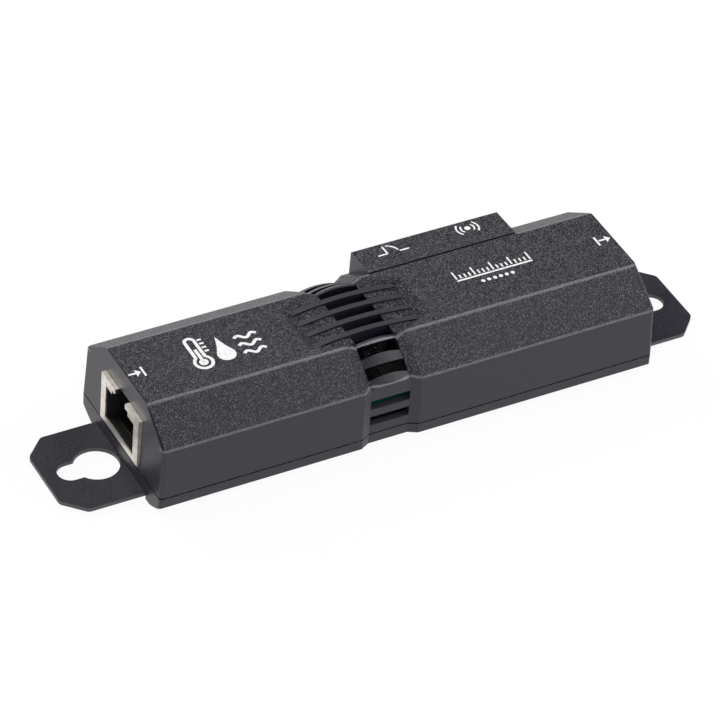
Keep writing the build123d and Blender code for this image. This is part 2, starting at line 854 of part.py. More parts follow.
def all_parts():
    """Every node of the sensor, by name."""
    parts = {"top_cover": make_top_cover(), "base_cover": make_base_cover(),
             "mounting_plate": make_mounting_plate(), "circuit_board": make_circuit_board()}
    for name, place in data_places():
        parts[name + "_shield"] = place * data_shield()
        parts[name + "_housing"] = place * data_housing()
        springs = contact_springs(contact_count, plug_depth, plug_floor)
        parts[name + "_contacts"] = Compound([place * spring for spring in springs])
    for name, place in port_places():
        parts[name + "_housing"] = place * port_housing()
        springs = contact_springs(port_contact_count, port_plug_depth, port_plug_floor)
        parts[name + "_contacts"] = Compound([place * spring for spring in springs])
    parts["climate_sensor"] = make_climate_sensor()
    parts["microcontroller"] = make_microcontroller()
    parts["line_driver"] = make_line_driver()
    parts["voltage_regulator"] = make_voltage_regulator()
    parts["crystal"] = make_crystal()
    parts["capacitors"] = Compound(make_capacitors())
    parts["resistors"] = Compound(make_resistors())
    parts["cover_screws"] = Compound([with_cross_recess(screw) for screw in cover_screws()])
    parts["plate_screws"] = Compound([with_cross_recess(screw) for screw in plate_screws()])
    return parts


os.makedirs("parts", exist_ok=True)
for node, shape in all_parts().items():
    export_step(shape, f"parts/{node}.step")
    print(node, round(shape.volume, 1))
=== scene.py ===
"""Studio scene of a black rack temperature and humidity sensor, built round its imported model.

The case, the plate, the sockets and the board come from the frame and get their finishes here. The
scene adds the printed signs, the solder on the chip resistors, the floor, the lights and a camera.
Lengths are millimetres, except those of the floor and the lamps, which are metres.
"""
import logging
import math
from collections.abc import Callable
from dataclasses import dataclass, field
from enum import Enum

import bmesh
import bpy
from mathutils import Matrix, Vector
from mathutils.bvhtree import BVHTree


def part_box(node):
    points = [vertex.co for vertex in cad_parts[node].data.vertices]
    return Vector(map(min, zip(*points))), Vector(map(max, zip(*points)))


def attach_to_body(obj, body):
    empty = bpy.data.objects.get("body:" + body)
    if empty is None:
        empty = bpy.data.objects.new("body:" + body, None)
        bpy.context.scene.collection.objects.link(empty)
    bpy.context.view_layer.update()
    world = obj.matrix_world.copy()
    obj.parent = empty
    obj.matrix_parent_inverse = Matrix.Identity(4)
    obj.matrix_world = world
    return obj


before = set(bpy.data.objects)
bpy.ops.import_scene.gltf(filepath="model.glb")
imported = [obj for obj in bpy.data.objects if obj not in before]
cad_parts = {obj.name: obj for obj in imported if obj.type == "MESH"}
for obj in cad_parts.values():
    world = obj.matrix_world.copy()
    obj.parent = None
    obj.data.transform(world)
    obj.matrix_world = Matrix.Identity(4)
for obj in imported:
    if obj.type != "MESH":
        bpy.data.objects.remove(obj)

MM = 0.001
BODY = "root"
AREA_LAMP_SHARE = 4.0
NOISE_MIDDLE = 0.5
FULL_TURN = 360.0
MIX_FIRST, MIX_SECOND, MIX_RESULT = 6, 7, 2
log = logging.getLogger("rack_sensor")

Point = tuple[float, float]
Span = tuple[float, float]
Colour = tuple[float, float, float, float]


class Slot(Enum):
    """Material slots of the record."""

    CASE = "case_plastic"
    BASE = "base_plastic"
    PLATE = "plate_paint"
    SHIELD = "shield_metal"
    SOCKET = "socket_plastic"
    CONTACT = "contact_metal"
    BOARD = "board_laminate"
    CHIP = "chip_plastic"
    CAN = "can_metal"
    RESISTOR = "resistor_body"
    SCREW = "screw_steel"


class Axis(Enum):
    """Position of a coordinate in a vector."""

    X = 0
    Y = 1
    Z = 2


def grey(level: float, red: float = 1.0, blue: float = 1.0) -> Colour:
    """Linear colour near grey, with a share for red and one for blue."""
    return (level * red, level, level * blue, 1.0)


def shade(colour: Colour, share: float) -> Colour:
    """The same colour, darker or lighter by a share."""
    return tuple(part * share for part in colour[:3]) + (1.0,)


# Shader maths


class Num:
    """A number that flows out of a shader socket and takes part in Python arithmetic."""

    def __init__(self, bench: "Bench", socket: bpy.types.NodeSocket) -> None:
        """Keep the socket and the bench that its sums are built on."""
        self.bench = bench
        self.socket = socket

    def _sum(self, operation: str, first: object, second: object) -> "Num":
        """Add one Math node for two values and return its result."""
        made = self.bench.add("ShaderNodeMath", {"operation": operation}, {0: first, 1: second})
        return Num(self.bench, made.outputs[0])

    def __add__(self, other: object) -> "Num":
        """Self plus other."""
        return self._sum("ADD", self, other)

    def __radd__(self, other: object) -> "Num":
        """Other plus self."""
        return self._sum("ADD", other, self)

    def __sub__(self, other: object) -> "Num":
        """Self minus other."""
        return self._sum("SUBTRACT", self, other)

    def __rsub__(self, other: object) -> "Num":
        """Other minus self."""
        return self._sum("SUBTRACT", other, self)

    def __mul__(self, other: object) -> "Num":
        """Self times other."""
        return self._sum("MULTIPLY", self, other)

    def __rmul__(self, other: object) -> "Num":
        """Other times self."""
        return self._sum("MULTIPLY", other, self)

    def __abs__(self) -> "Num":
        """Size of self without its sign."""
        return self._sum("ABSOLUTE", self, 0.0)

    def larger(self, other: object) -> "Num":
        """The larger of self and other."""
        return self._sum("MAXIMUM", self, other)

    def smaller(self, other: object) -> "Num":
        """The smaller of self and other."""
        return self._sum("MINIMUM", self, other)

    def wrapped(self, pitch: float) -> "Num":
        """What is left of self in a row that repeats every pitch, from 0 up to pitch."""
        return self._sum("FLOORED_MODULO", self, pitch)

    def step(self, low: float, high: float) -> "Num":
        """Smooth rise from 0 at low to 1 at high.

        Args:
            low: Value at which the rise starts.
            high: Value at which it ends.

        Returns:
            The risen value, between 0 and 1.
        """
        settings = {"interpolation_type": "SMOOTHSTEP"}
        values = {0: self, 1: low, 2: high, 3: 0.0, 4: 1.0}
        made = self.bench.add("ShaderNodeMapRange", settings, values)
        return Num(self.bench, made.outputs[0])

    def inside(self, half: float, soft: float) -> "Num":
        """1 where self is nearer to zero than half, and 0 outside, with a soft border."""
        return 1.0 - abs(self).step(half, half + soft)


class Bench:
    """One node tree under construction, and the one way in which nodes are added to it."""

    def __init__(self, tree: bpy.types.NodeTree) -> None:
        """Start on an emptied tree."""
        tree.nodes.clear()
        self.tree = tree

    def add(self, kind: str, settings: dict | None = None,
            values: dict | None = None) -> bpy.types.Node:
        """Add a node, set it up, then give its sockets their values or links.

        Args:
            kind: Blender's name for the node type.
            settings: The node's own properties.
            values: Socket number or name, with a value, a Num or a socket to link.

        Returns:
            The new node.
        """
        node = self.tree.nodes.new(kind)
        for name, value in (settings or {}).items():
            setattr(node, name, value)
        for key, value in (values or {}).items():
            source = value.socket if isinstance(value, Num) else value
            if isinstance(source, bpy.types.NodeSocket):
                self.tree.links.new(source, node.inputs[key])
            else:
                node.inputs[key].default_value = source
        return node

    def number(self, node: bpy.types.Node, output: int | str = 0) -> Num:
        """One output of a node as a number."""
        return Num(self, node.outputs[output])

    def place(self, stretch: tuple[float, float, float] = (1.0, 1.0, 1.0)) -> bpy.types.NodeSocket:
        """Object coordinates in millimetres, stretched along each axis."""
        coords = self.add("ShaderNodeTexCoord").outputs["Object"]
        scale = tuple(s / MM for s in stretch)
        return self.add("ShaderNodeMapping", None, {"Vector": coords, "Scale": scale}).outputs[0]

    def part(self, vector: bpy.types.NodeSocket, axis: Axis) -> Num:
        """One coordinate of a vector."""
        return self.number(self.add("ShaderNodeSeparateXYZ", None, {0: vector}), axis.value)

    def facing(self) -> bpy.types.NodeSocket:
        """The surface's own direction, in the object's axes."""
        return self.add("ShaderNodeTexCoord").outputs["Normal"]

    def noise(self, place: bpy.types.NodeSocket, per_mm: float, detail: float = 2.0,
              rough: float = 0.5) -> Num:
        """Cloudy noise between 0 and 1.

        Args:
            place: Coordinates in millimetres.
            per_mm: Clouds in each millimetre.
            detail: How many finer layers are laid over it.
            rough: Weight of the finer layers.

        Returns:
            The noise.
        """
        values = {"Vector": place, "Scale": per_mm, "Detail": detail, "Roughness": rough}
        return self.number(self.add("ShaderNodeTexNoise", None, values))

    def bent(self, place: bpy.types.NodeSocket, per_mm: float,
             reach: float) -> bpy.types.NodeSocket:
        """Coordinates pushed about by noise, so that a regular pattern looks grown."""
        values = {"Vector": place, "Scale": per_mm, "Detail": 1.0}
        push = self.add("ShaderNodeTexNoise", None, values)
        centred = self.add("ShaderNodeVectorMath", {"operation": "SUBTRACT"},
                           {0: push.outputs["Color"], 1: (NOISE_MIDDLE,) * 3})
        scaled = self.add("ShaderNodeVectorMath", {"operation": "SCALE"},
                          {0: centred.outputs[0], "Scale": reach})
        return self.add("ShaderNodeVectorMath", {"operation": "ADD"},
                        {0: place, 1: scaled.outputs[0]}).outputs[0]

    def blend(self, share: object, first: object, second: object) -> bpy.types.NodeSocket:
        """Colour that goes from first to second as share goes from 0 to 1."""
        values = {0: share, MIX_FIRST: first, MIX_SECOND: second}
        return self.add("ShaderNodeMix", {"data_type": "RGBA"}, values).outputs[MIX_RESULT]

    def relief(self, height: Num, depth: float = 1.0) -> bpy.types.NodeSocket:
        """Normal of a surface raised by a height in millimetres."""
        values = {"Strength": 1.0, "Distance": depth * MM, "Height": height}
        return self.add("ShaderNodeBump", None, values).outputs[0]

    def surface(self, values: dict) -> None:
        """Close the tree with a principled shader that has these values."""
        shader = self.add("ShaderNodeBsdfPrincipled", None, values)
        self.add("ShaderNodeOutputMaterial", None, {"Surface": shader.outputs[0]})


# Finishes


@dataclass(frozen=True)
class Finish:
    """A surface finish: it becomes one Blender material."""

    name: str
    slot: Slot

    def make(self) -> bpy.types.Material:
        """Build the finish's material."""
        material = bpy.data.materials.new(self.name)
        material.use_nodes = True
        self.dress(Bench(material.node_tree))
        return material

    def dress(self, bench: Bench) -> None:
        """Lay the finish's nodes on an empty tree."""
        raise NotImplementedError


@dataclass(frozen=True)
class MouldedCase(Finish):
    """Black moulded plastic: hide grain on top, spark grain on the bevels, satin on the walls. The
    walls, the smooth ribs and the bevels' edges carry painted light, and the grain crests are
    paler from wear and from painted sparkle.

    A Span named after a rise or a crest holds where that mask starts and where it is full. One
    named after an edge holds the edge's half width and its soft border.
    """

    flat_black: Colour = grey(0.0060, 1.16, 1.95)
    slope_black: Colour = grey(0.0060, 1.45, 2.145)
    # Painted light: the walls take this lighter black than the top and the bevels.
    painted_lit_wall_black: Colour = grey(0.0095, 1.16, 1.95)
    # Painted sheen: the flat tops of the smooth ribs and bars are painted lighter.
    painted_lit_rib_grey: Colour = grey(0.040, 1.05, 1.15)
    # Paler grain crests: partly wear, partly a painted sparkle highlight.
    crest_wear_and_sparkle_grey: Colour = grey(0.118, 1.07, 1.22)
    # Painted highlight along the long edges of the bevels.
    edge_highlight_grey: Colour = grey(0.20, 1.06, 1.12)
    flat_rise: Span = (0.86, 0.95)
    slope_rise: Span = (0.30, 0.50)
    wall_rise: Span = (0.1, 0.3)
    hide_crest: Span = (0.67, 0.94)
    spark_crest: Span = (0.50, 1.15)
    # Speckle of the painted edge highlight.
    edge_highlight_speckle: Span = (0.20, 0.62)
    hide_depth: float = 0.26
    spark_depth: float = 0.20
    satin_depth: float = 0.002
    rough: float = 0.36
    patch_rough: float = 0.05
    satin_rough: float = 0.04
    crest_rough: float = 0.08
    rib_pitch: float = 3.43
    rib_half: float = 0.6
    rib_reach: float = 11.4
    rib_rows_half: float = 6.86
    dish_end: Span = (30.0, 31.0)
    waist_centre: float = -4.6
    waist_half: float = 4.2
    bar_share: float = 0.85
    grain_end: Span = (52.35, 52.45)
    top_half: float = 8.85
    upper_edge: Span = (0.20, 0.18)
    hood_middle: float = 19.5
    hood_half: float = 16.2
    shoulder_height: float = 15.6
    lower_edge: Span = (0.10, 0.16)
    lower_share: float = 0.8
    shoulder_rise: Span = (15.0, 15.2)
    rib_soft: float = 0.05
    reach_soft: float = 0.2
    place_soft: float = 0.1

    HIDE_STRETCH = (0.95, 1.12, 1.0)
    SPARK_STRETCH = (1.3, 0.8, 0.8)
    SPARK_RISE = (0.34, 0.66)
    FOLD_SHARPNESS = 7.0
    FOLD_SHARE = 0.55
    PEBBLE_SHARE = 0.65

    def dress(self, bench: Bench) -> None:
        """Lay the finish's nodes on an empty tree."""
        place = bench.place()
        up = bench.part(bench.facing(), Axis.Z)
        flat = up.step(*self.flat_rise)
        slope = up.step(*self.slope_rise) * (1.0 - flat)
        smooth = self.smooth_places(bench, place)
        rubbed = 1.0 - smooth
        hide = self.hide_grain(bench)
        spark = self.spark_grain(bench)
        satin = bench.noise(place, per_mm=5.0, detail=2.0, rough=0.6)
        height = (hide * flat * rubbed * self.hide_depth
                  + spark * slope * rubbed * self.spark_depth + satin * self.satin_depth)
        crest = (hide.step(*self.hide_crest) * flat
                 + spark.step(*self.spark_crest) * slope) * rubbed
        raised = bench.blend(slope, self.flat_black, self.slope_black)
        # Painted light: the walls are painted lighter than the top and the bevels.
        black = bench.blend(1.0 - abs(up).step(*self.wall_rise), raised, self.painted_lit_wall_black)
        dish = 1.0 - abs(bench.part(place, Axis.X)).step(*self.dish_end)
        # Painted sheen on the flat tops of the ribs and bars inside the dish.
        with_painted_rib_sheen = bench.blend(smooth * flat * dish, black, self.painted_lit_rib_grey)
        # Grain crests painted paler: partly wear, partly painted sparkle.
        grained = bench.blend(crest, with_painted_rib_sheen, self.crest_wear_and_sparkle_grey)
        # Painted highlight along the bevels' edges, speckled by the satin noise.
        edge = self.painted_edge_highlights(bench, place) * satin.step(*self.edge_highlight_speckle)
        patches = bench.noise(place, per_mm=0.06, detail=3.0, rough=0.55)
        rough = (self.rough + patches * self.patch_rough + satin * self.satin_rough
                 + crest * self.crest_rough)
        tone = bench.blend(edge, grained, self.edge_highlight_grey)
        bench.surface({"Base Color": tone, "Roughness": rough, "Normal": bench.relief(height),
                       "IOR": 1.5})

    def painted_edge_highlights(self, bench: Bench, place: bpy.types.NodeSocket) -> Num:
        """1 along both long edges of each bevel, where a painted highlight lies, 0 elsewhere."""
        raised = bench.part(bench.facing(), Axis.Z).step(*self.slope_rise)
        across = bench.part(place, Axis.Y)
        along = bench.part(place, Axis.X) - self.hood_middle
        hood = along.inside(self.hood_half, self.place_soft) * across.step(0.0, 1.0)
        upper = (abs(across) - self.top_half).inside(*self.upper_edge) * (1.0 - hood) * raised
        lower = (bench.part(place, Axis.Z) - self.shoulder_height).inside(*self.lower_edge)
        return upper.larger(lower * abs(across).step(*self.shoulder_rise) * self.lower_share)

    def smooth_places(self, bench: Bench, place: bpy.types.NodeSocket) -> Num:
        """1 on the dish's ribs, the bars between the vents and the end edges, 0 elsewhere."""
        across = bench.part(place, Axis.Y)
        along = bench.part(place, Axis.X) - self.waist_centre
        from_rib = across.wrapped(self.rib_pitch) - self.rib_pitch / 2
        row = from_rib.inside(self.rib_half, self.rib_soft)
        ribs = (row * along.inside(self.rib_reach, self.reach_soft)
                * across.inside(self.rib_rows_half, self.rib_soft))
        ends = abs(bench.part(place, Axis.X)).step(*self.grain_end)
        bars = along.inside(self.waist_half, self.place_soft) * self.bar_share
        return ribs.larger(bars).larger(ends)

    @classmethod
    def hide_grain(cls, bench: Bench) -> Num:
        """Height of a fine hide grain, from 0 between its wavy folds to 1 on them."""
        place = bench.bent(bench.place(cls.HIDE_STRETCH), per_mm=1.3, reach=0.45)
        wave = bench.noise(place, per_mm=1.7, detail=1.0, rough=0.4)
        fold = 1.0 - (abs(wave - NOISE_MIDDLE) * cls.FOLD_SHARPNESS).smaller(1.0)
        pebble = bench.noise(place, per_mm=3.4, detail=1.0, rough=0.5)
        return (fold * cls.FOLD_SHARE + pebble * cls.PEBBLE_SHARE).smaller(1.0)

    @classmethod
    def spark_grain(cls, bench: Bench) -> Num:
        """Height of a fine spark-eroded grain, drawn out a little down the slope, from 0 to 1."""
        cloud = bench.noise(bench.place(cls.SPARK_STRETCH), per_mm=3.5, detail=2.0, rough=0.6)
        return cloud.step(*cls.SPARK_RISE)


@dataclass(frozen=True)
class SatinPaint(Finish):
    """Black satin powder paint on sheet steel, with a painted highlight on its side faces."""

    dark: Colour = grey(0.0120, 1.14, 1.8)
    pale: Colour = grey(0.0162, 1.14, 1.6)
    speck: Colour = grey(0.0408, 1.05, 1.2)
    # Painted highlight: the plate's side faces take this paler black.
    edge: Colour = grey(0.0540, 1.03, 1.1)
    flat_rise: Span = (0.5, 0.9)
    pale_rise: Span = (0.3, 0.7)
    speck_rise: Span = (0.50, 0.72)
    speck_share: float = 0.6
    rough: float = 0.40
    patch_rough: float = 0.10
    peel_rough: float = 0.06
    depth: float = 0.07

    def dress(self, bench: Bench) -> None:
        """Lay the finish's nodes on an empty tree."""
        place = bench.place()
        peel = bench.noise(place, per_mm=3.0, detail=2.0, rough=0.65)
        patches = bench.noise(place, per_mm=0.16, detail=3.0, rough=0.6)
        flat = abs(bench.part(bench.facing(), Axis.Z)).step(*self.flat_rise)
        black = bench.blend(patches.step(*self.pale_rise), self.dark, self.pale)
        specks = peel.step(*self.speck_rise) * self.speck_share
        # Faces that are not flat take the painted highlight colour.
        tone = bench.blend(flat, self.edge, bench.blend(specks, black, self.speck))
        rough = self.rough + patches * self.patch_rough + peel * self.peel_rough
        bench.surface({"Base Color": tone, "Roughness": rough,
                       "Normal": bench.relief(peel, self.depth)})


@dataclass(frozen=True)
class PlainMetal(Finish):
    """Rolled or plated metal with faint drawing lines along one axis."""

    colour: Colour = grey(0.6, 1.06, 0.9)
    rough: float = 0.28
    stretch: tuple[float, float, float] = (0.3, 2.0, 2.0)
    dull_share: float = 0.72
    dull_rise: Span = (0.35, 0.75)
    line_rough: float = 0.12
    depth: float = 0.004

    def dress(self, bench: Bench) -> None:
        """Lay the finish's nodes on an empty tree."""
        lines = bench.noise(bench.place(self.stretch), per_mm=1.6, detail=3.0, rough=0.6)
        patches = bench.noise(bench.place(), per_mm=0.5)
        dull = shade(self.colour, self.dull_share)
        tone = bench.blend(patches.step(*self.dull_rise), self.colour, dull)
        bench.surface({"Base Color": tone, "Metallic": 1.0,
                       "Roughness": self.rough + lines * self.line_rough,
                       "Normal": bench.relief(lines, self.depth)})


@dataclass(frozen=True)
class PlainPlastic(Finish):
    """Moulded plastic of one tone with a faint mottle."""

    colour: Colour = grey(0.012)
    rough: float = 0.35
    pale_share: float = 1.6
    pale_rise: Span = (0.4, 0.8)
    mottle_share: float = 0.5
    mottle_rough: float = 0.1
    depth: float = 0.004

    def dress(self, bench: Bench) -> None:
        """Lay the finish's nodes on an empty tree."""
        mottle = bench.noise(bench.place(), per_mm=3.0, detail=3.0, rough=0.6)
        pale = shade(self.colour, self.pale_share)
        tone = bench.blend(mottle.step(*self.pale_rise) * self.mottle_share, self.colour, pale)
        bench.surface({"Base Color": tone, "Roughness": self.rough + mottle * self.mottle_rough,
                       "Normal": bench.relief(mottle, self.depth)})


@dataclass(frozen=True)
class GreenLaminate(Finish):
    """Green solder mask, painted dark as shade inside the case and brighter over copper, with
    painted light along the borders under the side vents, and a dull cut edge.
    """

    # Painted shade: the mask and the tracks are painted far darker than green laminate, as the
    # board lies in shade inside the case.
    mask: Colour = (0.0012, 0.009, 0.006, 1.0)
    track: Colour = (0.002, 0.018, 0.011, 1.0)
    # Painted light: bright green where light falls through the side vents onto the board's long
    # borders.
    vent_lit_green: Colour = (0.003, 0.130, 0.072, 1.0)
    edge: Colour = (0.010, 0.040, 0.026, 1.0)
    vent_lit_start: Span = (8.3, 8.5)
    lane_pitch: float = 0.9
    post_pitch: float = 7.3
    track_edge: Span = (0.14, 0.04)
    track_gap: Span = (0.5, 0.52)
    span_stretch: tuple[float, float, float] = (0.08, 1.1, 1.0)
    flat_rise: Span = (0.4, 0.8)
    rough: float = 0.28
    rim_rough: float = 0.4
    depth: float = 0.03

    def dress(self, bench: Bench) -> None:
        """Lay the finish's nodes on an empty tree."""
        place = bench.place()
        lanes = self.tracks(bench.part(place, Axis.Y), self.lane_pitch)
        spans = bench.noise(bench.place(self.span_stretch), per_mm=1.0, detail=0.0)
        posts = self.tracks(bench.part(place, Axis.X), self.post_pitch)
        fields = bench.noise(place, per_mm=0.12, detail=0.0)
        copper = (lanes * spans.step(*self.track_gap)).larger(posts * fields.step(*self.track_gap))
        rim = 1.0 - abs(bench.part(bench.facing(), Axis.Z)).step(*self.flat_rise)
        # Band along the long borders, under the side vents, that takes the painted light.
        under_side_vents = abs(bench.part(place, Axis.Y)).step(*self.vent_lit_start)
        top = bench.blend(under_side_vents, bench.blend(copper, self.mask, self.track), self.vent_lit_green)
        tone = bench.blend(rim, top, self.edge)
        bench.surface({"Base Color": tone, "Roughness": self.rough + rim * self.rim_rough,
                       "Normal": bench.relief(copper, self.depth)})

    def tracks(self, place: Num, pitch: float) -> Num:
        """1 on copper tracks that lie a pitch apart, and 0 between them."""
        return (place.wrapped(pitch) - pitch / 2).inside(*self.track_edge)


@dataclass(frozen=True)
class WhiteInk(Finish):
    """White pad-printed ink, thin enough to take the grain below it."""

    thick: Colour = grey(0.84)
    thin: Colour = grey(0.60, 1.0, 1.03)
    thick_rise: Span = (0.15, 0.6)
    rough: float = 0.5
    depth: float = 0.04

    def dress(self, bench: Bench) -> None:
        """Lay the finish's nodes on an empty tree."""
        grain = MouldedCase.hide_grain(bench)
        tone = bench.blend(grain.step(*self.thick_rise), self.thin, self.thick)
        bench.surface({"Base Color": tone, "Roughness": self.rough,
                       "Normal": bench.relief(grain, self.depth)})


@dataclass(frozen=True)
class Solder(Finish):
    """Bright tin solder with a finely crystalline skin."""

    bright: Colour = grey(0.93)
    dull: Colour = grey(0.52)
    dull_rise: Span = (0.35, 0.75)
    rough: float = 0.20
    skin_rough: float = 0.2
    depth: float = 0.02

    def dress(self, bench: Bench) -> None:
        """Lay the finish's nodes on an empty tree."""
        skin = bench.noise(bench.place(), per_mm=7.0, detail=2.0, rough=0.6)
        tone = bench.blend(skin.step(*self.dull_rise), self.bright, self.dull)
        bench.surface({"Base Color": tone, "Metallic": 1.0,
                       "Roughness": self.rough + skin * self.skin_rough,
                       "Normal": bench.relief(skin, self.depth)})


def dress_node(name: str, finish: Finish, material: bpy.types.Material) -> None:
    """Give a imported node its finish.

    Args:
        name: The node's name.
        finish: The finish that the node takes.
        material: The finish's material.
    """
    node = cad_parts[name]
    node.data.materials.clear()
    node.data.materials.append(material)
    log.info("dressed %s as %s", name, finish.name)


@dataclass(frozen=True)
class Dressing:
    """Which node takes which finish."""

    finishes: tuple[tuple[Finish, tuple[str, ...]], ...] = (
        (MouldedCase("moulded_case", Slot.CASE), ("top_cover",)),
        (MouldedCase("moulded_base", Slot.BASE), ("base_cover",)),
        (SatinPaint("satin_paint", Slot.PLATE), ("mounting_plate",)),
        (PlainMetal("nickel_plate", Slot.SHIELD, grey(0.76, 1.07, 0.92), 0.36),
         ("in_jack_shield", "out_jack_shield")),
        (PlainPlastic("socket_black", Slot.SOCKET),
         ("in_jack_housing", "out_jack_housing", "door_port_housing", "sensor_port_housing")),
        # Painted shade: the gold is painted dark, as the contacts lie in shade inside the sockets.
        (PlainMetal("gold_flash_painted_dark", Slot.CONTACT, (0.22, 0.15, 0.06, 1.0), 0.28),
         ("in_jack_contacts", "out_jack_contacts", "door_port_contacts", "sensor_port_contacts")),
        (GreenLaminate("green_board", Slot.BOARD), ("circuit_board",)),
        (PlainPlastic("chip_black", Slot.CHIP, grey(0.02), 0.55),
         ("climate_sensor", "microcontroller", "line_driver", "voltage_regulator")),
        (PlainMetal("can_metal", Slot.CAN, grey(0.62), 0.25), ("crystal", "capacitors")),
        (PlainPlastic("resistor_body", Slot.RESISTOR, grey(0.010), 0.4), ("resistors",)),
        (PlainMetal("screw_zinc", Slot.SCREW, grey(0.5), 0.3), ("cover_screws", "plate_screws")),
    )

    def apply(self) -> None:
        """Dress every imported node."""
        for finish, names in self.finishes:
            material = finish.make()
            for name in names:
                dress_node(name, finish, material)


# Printed marks


def attach(piece: bpy.types.Object) -> None:
    """Let a new piece ride on the object."""
    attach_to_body(piece, BODY)
    log.info("made %s with %d faces", piece.name, len(piece.data.polygons))


def circle(centre: Point, radius: float, count: int = 28, start: float = 0.0,
           turn: float = FULL_TURN) -> list[Point]:
    """Points round a circle, or along a part of it.

    Args:
        centre: The circle's middle.
        radius: The circle's radius.
        count: How many points there are.
        start: Angle of the first point, in degrees.
        turn: How far the points go round, in degrees; a full turn leaves out the repeated point.

    Returns:
        The points, anticlockwise.
    """
    steps = count if turn == FULL_TURN else count - 1
    angles = (math.radians(start + turn * index / steps) for index in range(count))
    return [(centre[0] + radius * math.cos(a), centre[1] + radius * math.sin(a)) for a in angles]


class Ink:
    """Flat shapes of ink under construction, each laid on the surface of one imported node."""

    PROUD = 0.012
    SUNK = 0.03

    def __init__(self, name: str, carrier: str) -> None:
        """Start with no shapes, over the named node."""
        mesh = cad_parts[carrier].data
        self.surface = BVHTree.FromPolygons([v.co for v in mesh.vertices],
                                            [tuple(face.vertices) for face in mesh.polygons])
        self.name = name
        self.mesh = bmesh.new()

    def _lay(self, point: Point) -> tuple[bmesh.types.BMVert, bmesh.types.BMVert]:
        """Upper and lower corner of the ink over one point of the plan."""
        above = Vector((point[0] * MM, point[1] * MM, 1.0))
        height = self.surface.ray_cast(above, Vector((0, 0, -1)))[0].z
        return tuple(self.mesh.verts.new((above.x, above.y, height + gap * MM))
                     for gap in (self.PROUD, -self.SUNK))

    def patch(self, outline: list[Point]) -> None:
        """Print a filled shape inside an anticlockwise outline."""
        corners = [self._lay(point) for point in outline]
        self.mesh.faces.new([top for top, _ in corners])
        self.mesh.faces.new([low for _, low in reversed(corners)])
        for (top, low), (next_top, next_low) in zip(corners, corners[1:] + corners[:1]):
            self.mesh.faces.new((low, next_low, next_top, top))

    def stroke(self, points: list[Point], width: float, closed: bool = False) -> None:
        """Print a line of even width.

        Args:
            points: The line's middle, from one end to the other.
            width: The line's width.
            closed: Whether the line comes back to its first point.
        """
        count = len(points)
        sides = []
        for index, (x, y) in enumerate(points):
            before = points[index - 1] if closed or index else points[0]
            after = points[(index + 1) % count] if closed or index < count - 1 else points[-1]
            ahead = Vector((after[0] - before[0], after[1] - before[1])).normalized() * width / 2
            sides.append((self._lay((x - ahead.y, y + ahead.x)),
                          self._lay((x + ahead.y, y - ahead.x))))
        pairs = list(zip(sides, sides[1:] + sides[:1]))
        for (left, right), (next_left, next_right) in pairs if closed else pairs[:-1]:
            self.mesh.faces.new((right[0], next_right[0], next_left[0], left[0]))
            self.mesh.faces.new((left[1], next_left[1], next_right[1], right[1]))
            self.mesh.faces.new((right[1], next_right[1], next_right[0], right[0]))
            self.mesh.faces.new((left[0], next_left[0], next_left[1], left[1]))
        if not closed:
            (left, right), (end_left, end_right) = sides[0], sides[-1]
            self.mesh.faces.new((left[1], right[1], right[0], left[0]))
            self.mesh.faces.new((end_right[1], end_left[1], end_left[0], end_right[0]))

    def finish(self, material: bpy.types.Material) -> None:
        """Turn the shapes into one piece of the object."""
        data = bpy.data.meshes.new(self.name)
        self.mesh.to_mesh(data)
        self.mesh.free()
        data.materials.append(material)
        piece = bpy.data.objects.new(self.name, data)
        bpy.context.scene.collection.objects.link(piece)
        attach(piece)


def print_signs(drawings: dict[str, Callable[[Ink], None]], ink: bpy.types.Material) -> None:
    """Print signs on the top cover.

    Args:
        drawings: Each sign's name, with the method that draws it.
        ink: The signs' material.
    """
    for name, draw in drawings.items():
        mark = Ink(name, "top_cover")
        draw(mark)
        mark.finish(ink)


@dataclass
class FlowArrows:
    """Arrows beside the two data sockets: into the case at the inlet, out of it at the outlet."""

    places: dict[str, Point] = field(default_factory=lambda: {
        "inlet_arrow": (-50.7, 0.0), "outlet_arrow": (51.0, 0.4)})
    shaft: float = 1.5
    head: float = 1.1
    head_half: float = 0.95
    width: float = 0.42
    gate_half: float = 1.35

    def build(self, ink: bpy.types.Material) -> None:
        """Print both arrows, each with the socket's face as a short bar."""
        for name, (x, y) in self.places.items():
            mark = Ink(name, "top_cover")
            mark.patch([(x - self.shaft, y - self.width / 2), (x, y - self.width / 2),
                        (x, y - self.head_half), (x + self.head, y), (x, y + self.head_half),
                        (x, y + self.width / 2), (x - self.shaft, y + self.width / 2)])
            gate = x + self.head + self.width if x < 0 else x - self.shaft - self.width
            mark.stroke([(gate, y - self.gate_half), (gate, y + self.gate_half)], self.width)
            mark.finish(ink)


